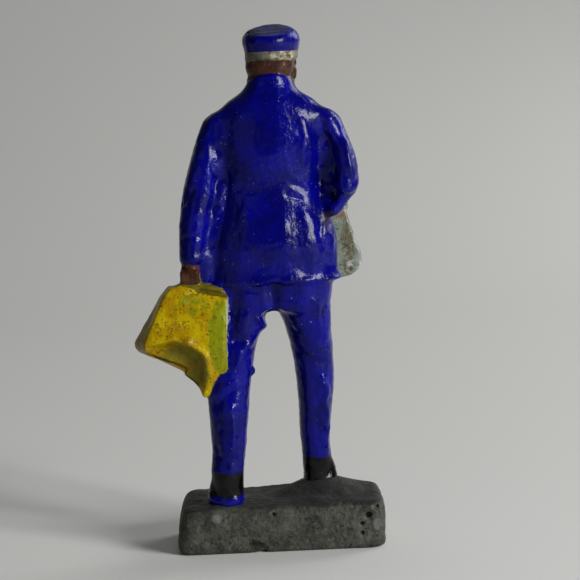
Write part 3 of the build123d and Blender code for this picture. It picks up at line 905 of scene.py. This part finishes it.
def yellow_enamel():
    """Yellow over green and brown, with painted shade and dirt in the hollow and painted shade on the
    end of the bag.
    """
    finish = Finish("yellow enamel")
    back = box("yellow_bag_body")[1].y
    share = finish.step(finish.noise(0.5), 0.38, 0.62)
    tone = finish.mix(share, rgb(0.33, 0.2, 0.0), rgb(0.46, 0.33, 0.0))
    inner = finish.patch((5.6, back, 25.0), (1.9, 3.5, 4.6), 0.35)
    tone = finish.mix(inner * 0.85, tone, rgb(0.19, 0.23, 0.003))
    upper = finish.patch((9.0, back, 28.8), (1.7, 2.5, 1.3), 0.9)
    upper = upper * finish.step(finish.noise(1.0), 0.35, 0.6)
    tone = finish.mix(upper * 0.8, tone, rgb(0.14, 0.18, 0.004))
    # Painted shade: the end of the bag, turned from the light, is painted a darker olive.
    end = finish.patch((15.6, back - 2.6, 26.0), (1.8, 2.6, 5.5), 0.25)
    tone = finish.mix(end * 0.8, tone, rgb(0.19, 0.135, 0.003))
    # Painted shade and dirt: the dish in the bag's foot is painted a darker olive-brown.
    hollow_shade_and_dirt = finish.patch((10.7, back - 1.0, 21.4), (3.1, 3.0, 2.9), 0.3)
    tone = finish.mix(hollow_shade_and_dirt * 0.85, tone, rgb(0.17, 0.145, 0.012))
    under = finish.patch((11.4, back - 1.6, 21.5), (2.6, 2.6, 0.6), 0.5)
    tone = finish.mix(under * 0.75, tone, rgb(0.27, 0.15, 0.001))
    grime = finish.specks(2.2, 0.6, (4, 4, 4))
    tone = finish.mix(grime * 0.6, tone, rgb(0.1, 0.08, 0.003))
    specks = finish.specks(4.6, 0.66, (5, 2, 8))
    tone = finish.mix(specks * 0.9, tone, rgb(0.008, 0.008, 0.004))
    rim = finish.patch((5.45, back - 0.6, 20.3), (0.45, 1.2, 0.5), 0.3)
    rim = rim.maximum(finish.patch((5.15, back - 0.9, 25.0), (0.22, 0.9, 4.6), 0.9) * 0.7)
    tone = finish.mix(rim * 0.8, tone, rgb(0.45, 0.48, 0.38))
    roughness = 0.2 + finish.noise(1.0) * 0.2
    return finish.done(tone, roughness, brushed(finish) - specks * 0.6, 0.12, 0.15)


def olive_enamel():
    finish = Finish("olive enamel")
    share = finish.step(finish.noise(0.6), 0.35, 0.7)
    tone = finish.mix(share, rgb(0.085, 0.065, 0.003), rgb(0.15, 0.12, 0.005))
    tone = finish.mix(finish.specks(4.0, 0.66) * 0.8, tone, rgb(0.01, 0.01, 0.004))
    return finish.done(tone, 0.22 + finish.noise(1.0) * 0.2, brushed(finish), 0.1, 0.3)


def pale_enamel():
    """Grey-green with a brown stain down the middle of the side that shows, and a painted highlight low
    on it.
    """
    finish = Finish("pale enamel")
    share = finish.step(finish.noise(0.7), 0.35, 0.7)
    tone = finish.mix(share, rgb(0.17, 0.2, 0.17), rgb(0.27, 0.3, 0.26))
    rear = box("pale_bag_body")[1].y
    stain = finish.patch((-9.3, rear, 34.2), (0.75, 3.0, 3.8), 0.8)
    stain = stain * finish.step(finish.noise(2.4), 0.3, 0.6)
    tone = finish.mix(stain * 0.8, tone, rgb(0.12, 0.09, 0.03))
    tinge = finish.patch((-8.6, rear, 37.9), (0.7, 3.0, 0.9), 0.5)
    tinge = tinge * finish.step(finish.noise(2.0), 0.4, 0.6)
    tone = finish.mix(tinge * 0.7, tone, rgb(0.2, 0.1, 0.025))
    brown = finish.specks(4.2, 0.6, (2, 6, 1))
    tone = finish.mix(brown * 0.7, tone, rgb(0.06, 0.03, 0.01))
    # Painted highlight: a pale patch near the foot of the bag's rear side stands for a highlight.
    lighter_tone_and_painted_highlight = finish.patch((-10.0, rear, 31.6), (1.0, 3.0, 0.8), 1.0)
    lighter_tone_and_painted_highlight = lighter_tone_and_painted_highlight * finish.step(finish.noise(1.6), 0.45, 0.6)
    tone = finish.mix(lighter_tone_and_painted_highlight * 0.7, tone, rgb(0.5, 0.54, 0.5))
    roughness = 0.14 + finish.noise(1.0) * 0.2
    return finish.done(tone, roughness, brushed(finish) - brown * 0.4, 0.12, 0.6)


def band_enamel():
    finish = Finish("band enamel")
    share = finish.step(finish.noise(1.4), 0.35, 0.7)
    tone = finish.mix(share, rgb(0.085, 0.08, 0.055), rgb(0.17, 0.16, 0.12))
    # Painted highlight: a pale silver patch on the side of the band towards the light.
    lighter_tone_and_painted_highlight = finish.patch((-2.6, 3.0, 56.6), (1.5, 3.0, 1.0), 0.9)
    lighter_tone_and_painted_highlight = lighter_tone_and_painted_highlight * finish.step(finish.noise(2.2), 0.4, 0.65)
    tone = finish.mix(lighter_tone_and_painted_highlight, tone, rgb(0.4, 0.36, 0.24))
    grime = finish.specks(3.4, 0.55)
    tone = finish.mix(grime * 0.8, tone, rgb(0.05, 0.03, 0.012))
    return finish.done(tone, 0.26 + finish.noise(1.0) * 0.2, brushed(finish), 0.12, 0.2)


def button_enamel():
    finish = Finish("button enamel")
    share = finish.step(finish.noise(2.0), 0.35, 0.7)
    tone = finish.mix(share, rgb(0.3, 0.29, 0.22), rgb(0.55, 0.53, 0.42))
    return finish.done(tone, 0.25 + finish.noise(1.0) * 0.15, finish.noise(3.0), 0.04, 0.2)


def base_enamel():
    """Satin grey over a pitted casting, glossier on top, with painted shade on the top and in the pits
    and painted highlights on the rear face.
    """
    finish = Finish("base enamel")
    share = finish.step(finish.noise(0.55, 4.0), 0.35, 0.68)
    tone = finish.mix(share, rgb(0.04, 0.042, 0.034), rgb(0.072, 0.074, 0.062))
    mottle = finish.step(finish.noise(2.4, 5.0), 0.52, 0.66)
    tone = finish.mix(mottle * 0.45, tone, rgb(0.12, 0.12, 0.1))
    stain = finish.step(finish.noise(0.5, 3.0, shift=(7, 2, 2)), 0.56, 0.68)
    tone = finish.mix(stain * 0.5, tone, rgb(0.022, 0.021, 0.017))
    # Painted shade: the top of the base is painted darker, most of all in its glossy patches.
    top = finish.step(finish.upward(), 0.45, 0.85)
    wet = finish.step(finish.noise(0.35, 3.0, shift=(1, 5, 0)), 0.4, 0.6)
    tone = finish.mix(top * (0.45 + wet * 0.4), tone, rgb(0.018, 0.02, 0.019))
    grit = finish.specks(2.6, 0.62, (1, 1, 1))
    tone = finish.mix(grit * 0.6, tone, rgb(0.012, 0.012, 0.01))
    # Painted shade: each pit is painted near-black inside, as well as sunk in the relief.
    pits_and_painted_shade = 0.0
    for (x, z), size in PITS:
        pit_and_painted_shade = finish.patch((x, base_high.y, z), (size, 0.9, size * 0.9), 0.25)
        tone = finish.mix(pit_and_painted_shade, tone, rgb(0.004, 0.004, 0.003))
        pits_and_painted_shade = pit_and_painted_shade + pits_and_painted_shade
    chip = finish.patch((2.9, base_high.y, 0.85), (0.9, 1.0, 0.6), 1.2)
    tone = finish.mix(chip * 0.8, tone, rgb(0.015, 0.014, 0.01))
    flake = finish.patch((3.6, 3.6, 5.8), (0.35, 0.25, 0.5), 0.5)
    tone = finish.mix(flake, tone, rgb(0.003, 0.003, 0.003))
    smooth = finish.patch((-10.0, base_high.y, 3.2), (1.7, 1.5, 2.0), 0.5)
    # Painted highlights: two pale patches on the rear face stand for highlights.
    lighter_tone_and_painted_highlight = finish.patch((-11.0, base_high.y, 2.8), (0.5, 1.5, 0.7), 0.5)
    lighter_tone_and_painted_highlight += finish.patch((7.4, base_high.y, 4.3), (0.6, 1.2, 0.5), 0.7)
    tone = finish.mix(lighter_tone_and_painted_highlight * 0.45, tone, rgb(0.16, 0.16, 0.15))
    streaks = finish.noise(1.3, 3.0, stretch=(0.3, 1.6, 1.0))
    rough = finish.noise(1.1, 3.0) + finish.noise(3.4, 4.0) * 0.35
    rough = rough * (1.1 - top * 0.7) * (1 - smooth * 0.7)
    roughness = 0.5 - top * wet * 0.12 - smooth * 0.14 + finish.noise(1.2) * 0.16
    relief = rough + streaks * top * 0.5 - grit * 0.4 - pits_and_painted_shade
    return finish.done(tone, roughness, relief, 0.24)


BLUE_DEEP = rgb(0.0006, 0.0008, 0.1)
BLUE = rgb(0.0008, 0.001, 0.18)
BLUE_BRIGHT = rgb(0.0015, 0.002, 0.28)

finish_of = {
    "base_enamel": base_enamel(),
    "black_enamel": black_enamel(),
    "blue_enamel": blue_enamel(),
    "button_enamel": button_enamel(),
    "skin_enamel": skin_enamel(),
    "band_enamel": band_enamel(),
    "yellow_enamel": yellow_enamel(),
    "olive_enamel": olive_enamel(),
    "pale_enamel": pale_enamel(),
}
cap_finish = cap_enamel()


# The figure

SOFT_PIECES = ["jacket", "jacket_collar", "left_sleeve", "right_sleeve", "trouser_seat"]
SOFT_PIECES += ["left_trouser_leg", "right_trouser_leg"]
AS_CAST = ["jacket_collar", "left_sleeve", "trouser_seat", "left_trouser_leg", "right_trouser_leg"]
AS_CAST += ["cap_band", "pale_bag_frame"]

# Seams that thick enamel has filled: the pieces, how far it spreads in facets, and how smooth it is
BLENDED = [
    (("trouser_seat", "left_trouser_leg", "right_trouser_leg"), 16, 50),
    (("jacket", "left_sleeve"), 15, 44),
    (("jacket", "right_sleeve"), 11, 40),
    (("jacket", "jacket_collar"), 5, 12),
    (("jacket", "trouser_seat"), 7, 30),
    (("left_trouser_leg", "left_shoe"), 5, 14),
    (("right_trouser_leg", "right_shoe"), 5, 14),
    (("left_trouser_leg", "yellow_bag_body"), 4, 8),
    (("jacket", "pale_bag_body"), 4, 8),
]
# Pieces whose edges thick enamel has rounded, and how smooth they are
ROUNDED = {
    "cap_crown": 16,
    "yellow_bag_body": 7,
    "yellow_bag_frame": 5,
    "pale_bag_body": 10,
    "left_shoe": 12,
    "right_shoe": 12,
    "cap_band": 4,
    "head": 2,
}


def make_figure():
    sources = {node: bare_piece(node) for node in AS_CAST}
    sources |= {
        "jacket": jacket(),
        "right_sleeve": right_sleeve(),
        "head": head(),
        "cap_crown": cap_crown(),
        "cap_peak": cap_peak(),
        "left_hand": left_hand(),
        "right_hand": right_hand(),
        "left_shoe": shoe("left_shoe"),
        "right_shoe": shoe("right_shoe"),
        "yellow_bag_body": yellow_bag(),
        "yellow_bag_frame": yellow_frame(),
        "yellow_bag_handle": handle("yellow_bag_handle", left_grip),
        "pale_bag_body": pale_bag(),
        "pale_bag_handle": handle("pale_bag_handle", right_grip),
    }
    skin = skin_over(sources, GRAIN)
    soften(skin, skin.verts, 2)
    skin.faces.index_update()
    owners = nearest_source(skin, sources)
    soften(skin, verts_of(skin, owners, SOFT_PIECES), 16)
    for pair, rings, rounds in BLENDED:
        soften(skin, seam(skin, owners, pair, rings), rounds)
    for name, rounds in ROUNDED.items():
        soften(skin, verts_of(skin, owners, [name]), rounds)
    press(skin, jacket_folds() + sleeve_folds() + trouser_folds() + bag_hollows())
    scoop(skin)
    skin.normal_update()
    soften(skin, skin.verts, 1)
    hand_finish(skin, UNEVENNESS)
    for node in sources:
        part, shading = cut_out(skin, owners, node)
        material = cap_finish if node == "cap_crown" else finish_of[slot_of[node]]
        finished(part, node + "_painted", [node], material, shading)
    skin.free()


def verts_of(bm, owners, names):
    return list({v for face, owner in zip(bm.faces, owners) if owner in names for v in face.verts})


def seam(bm, owners, names, rings):
    """The vertices within a few facets of where one of the named pieces meets another."""
    touching = {}
    for face, owner in zip(bm.faces, owners):
        if owner in names:
            for vert in face.verts:
                touching.setdefault(vert, set()).add(owner)
    found = {vert for vert, pieces in touching.items() if len(pieces) > 1}
    for _ in range(rings):
        found |= {edge.other_vert(vert) for vert in found for edge in vert.link_edges}
    return list(found)


def make_buttons():
    """Domed buttons over the frame's."""
    bare = bare_piece("jacket_buttons")
    bm = bmesh.new()
    for shell in shells_of(bare):
        place = mean([vert.co for vert in shell])
        lump(bm, place, (0.46, 0.32, 0.46))
        lump(bm, place + Vector((0, -0.2, 0)), (0.26, 0.2, 0.26))
    bare.free()
    finished(bm, "jacket_buttons_painted", ["jacket_buttons"], finish_of["button_enamel"])


# The base


def swell(x, y, centre, radii, height):
    """The height of a rounded swelling of the ground at x, y."""
    reach = ((x - centre[0]) / radii[0]) ** 2 + ((y - centre[1]) / radii[1]) ** 2
    return height * math.exp(-reach)


def make_base():
    """The block: soft edges, ground that rises round both feet, and dents and pits in its sides."""
    low, high = base_low, base_high
    top = low.z + 5.4
    bm = bmesh.new()
    size = Vector((high.x - low.x, high.y - low.y, top))
    centre = Vector((0, 0, top / 2))
    bmesh.ops.create_cube(bm, size=1, matrix=Matrix.Translation(centre) @ Matrix.Diagonal((*size, 1)))
    upright = [e for e in bm.edges if abs(e.verts[0].co.z - e.verts[1].co.z) > 1]
    bmesh.ops.bevel(bm, geom=upright, offset=1.7, segments=6, profile=0.5, affect="EDGES", material=-1)
    rim = [e for e in bm.edges if all(v.co.z > top - 0.01 for v in e.verts)]
    bmesh.ops.bevel(bm, geom=rim, offset=0.95, segments=4, profile=0.5, affect="EDGES", material=-1)
    foot = [e for e in bm.edges if all(v.co.z < 0.01 for v in e.verts)]
    bmesh.ops.bevel(bm, geom=foot, offset=0.5, segments=3, profile=0.5, affect="EDGES", material=-1)
    block = skin_over({"block": bm}, BASE_GRAIN)
    soften(block, block.verts, 4)
    left = middle("left_shoe")
    right = middle("right_shoe")
    for vert in block.verts:
        x, y, z = vert.co
        if z > top - 0.8:
            rise = swell(x, y, (right.x, right.y + 1.4), (3.4, 3.4), 1.9)
            rise += swell(x, y, (right.x - 3.4, right.y + 0.4), (2.6, 3.4), 0.4)
            rise += swell(x, y, (left.x, left.y + 0.6), (2.7, 3.0), 0.45)
            vert.co.z += rise * min(1.0, (z - top + 0.8) / 0.8)
        if x > 6 and z > 2.0:
            vert.co.x -= 0.8 * ((x - 6) / 6) * ((z - 2.0) / 3.4) ** 1.5
    press(block, base_dents())
    for vert in block.verts:
        if vert.co.z > 0.35:
            broad = noise.noise(vert.co * 0.35)
            fine = noise.noise(vert.co * 1.1 + Vector((2, 8, 1)))
            vert.co += vert.normal * (0.14 * broad + 0.07 * fine)
    block.normal_update()
    for vert in block.verts:
        vert.co.z = max(vert.co.z, 0.0)
    finished(block, "base_block_painted", ["base_block"], finish_of["base_enamel"])


def base_dents():
    """Pits, a chip at the foot, a smooth flat and old brush ridges, all on the rear face."""
    back = base_high.y
    strokes = [((x, back, z), (x + 0.02, back, z), size * 1.3, -0.3) for (x, z), size in PITS]
    strokes += [
        ((3.3, back, 0.9), (2.2, back, 0.5), 0.5, -0.35),
        ((-9.6, back, 1.2), (-9.4, back, 4.2), 1.5, 0.12),
        ((7.5, back, 4.4), (7.4, back, 4.0), 0.8, 0.22),
        ((10.5, back, 4.6), (9.0, back, 3.0), 0.8, -0.18),
        ((4.0, back, 3.6), (1.0, back, 2.2), 0.6, 0.12),
        ((-2.5, back, 3.8), (-5.5, back, 3.2), 0.7, -0.12),
        ((8.0, back, 5.0), (3.0, back, 4.8), 0.4, -0.14),
    ]
    return strokes


# The studio


def make_studio():
    """A plain pale floor that curves up into a backdrop, and soft light, mostly from the rear right."""
    bm = bmesh.new()
    bmesh.ops.create_grid(bm, x_segments=1, y_segments=1, size=0.9)
    edge = [e for e in bm.edges if all(v.co.y < -0.8 for v in e.verts)]
    bmesh.ops.translate(bm, vec=(0, 0.7, 0), verts=edge[0].verts)
    bmesh.ops.spin(
        bm,
        geom=edge + list(edge[0].verts),
        cent=(0, -0.2, 0.6),
        axis=(1, 0, 0),
        angle=math.radians(-80),
        steps=40,
        use_merge=False,
    )
    bmesh.ops.recalc_face_normals(bm, faces=bm.faces)
    floor = as_object(bm, "floor")
    bm.free()
    floor.data.shade_smooth()
    pale = bpy.data.materials.new("pale floor")
    pale.use_nodes = True
    pale.node_tree.nodes["Principled BSDF"].inputs["Base Color"].default_value = rgb(0.76, 0.755, 0.73)
    pale.node_tree.nodes["Principled BSDF"].inputs["Roughness"].default_value = 0.9
    floor.data.materials.append(pale)
    soft_light("key", (-0.34, 0.27, 0.17), 0.17, 2.2)
    soft_light("fill", (0.30, 0.40, 0.12), 0.30, 0.08)
    soft_light("wash", (0.0, -0.20, 0.55), 0.30, 0.5, (0, -0.60, 0.1))
    soft_light("front", (-0.36, -0.28, 0.24), 0.26, 0.8)
    world = bpy.data.worlds.new("studio")
    world.use_nodes = True
    world.node_tree.nodes["Background"].inputs["Color"].default_value = rgb(0.75, 0.78, 0.8)
    world.node_tree.nodes["Background"].inputs["Strength"].default_value = 0.075
    bpy.context.scene.world = world
    bpy.context.scene.view_settings.view_transform = "Standard"


def soft_light(name, place, size, power, aim=(0, 0, 0.03)):
    light = bpy.data.lights.new(name, "AREA")
    light.size = size
    light.energy = power
    lamp = bpy.data.objects.new(name, light)
    bpy.context.scene.collection.objects.link(lamp)
    lamp.location = place
    lamp.rotation_euler = (Vector(aim) - Vector(place)).to_track_quat("-Z", "Y").to_euler()


def make_camera():
    """Behind the figure, a little above it, and slightly rolled."""
    azimuth = math.radians(179.15)
    elevation = math.radians(6.72)
    roll = math.radians(2.41)
    distance = 0.230
    target = Vector((-0.002165, 0, 0.02958))
    level = math.cos(elevation)
    back = Vector((math.sin(azimuth) * level, -math.cos(azimuth) * level, math.sin(elevation)))
    right = Vector((0, 0, 1)).cross(back).normalized()
    up = back.cross(right)
    across = right * math.cos(roll) - up * math.sin(roll)
    upright = right * math.sin(roll) + up * math.cos(roll)
    data = bpy.data.cameras.new("camera")
    data.sensor_width = 36
    data.lens = 122.8
    data.clip_start = 0.01
    camera = bpy.data.objects.new("camera", data)
    bpy.context.scene.collection.objects.link(camera)
    turn = Matrix((across, upright, back)).transposed().to_4x4()
    camera.matrix_world = Matrix.Translation(target + back * distance) @ turn
    bpy.context.scene.camera = camera


make_figure()
make_buttons()
make_base()
make_studio()
make_camera()
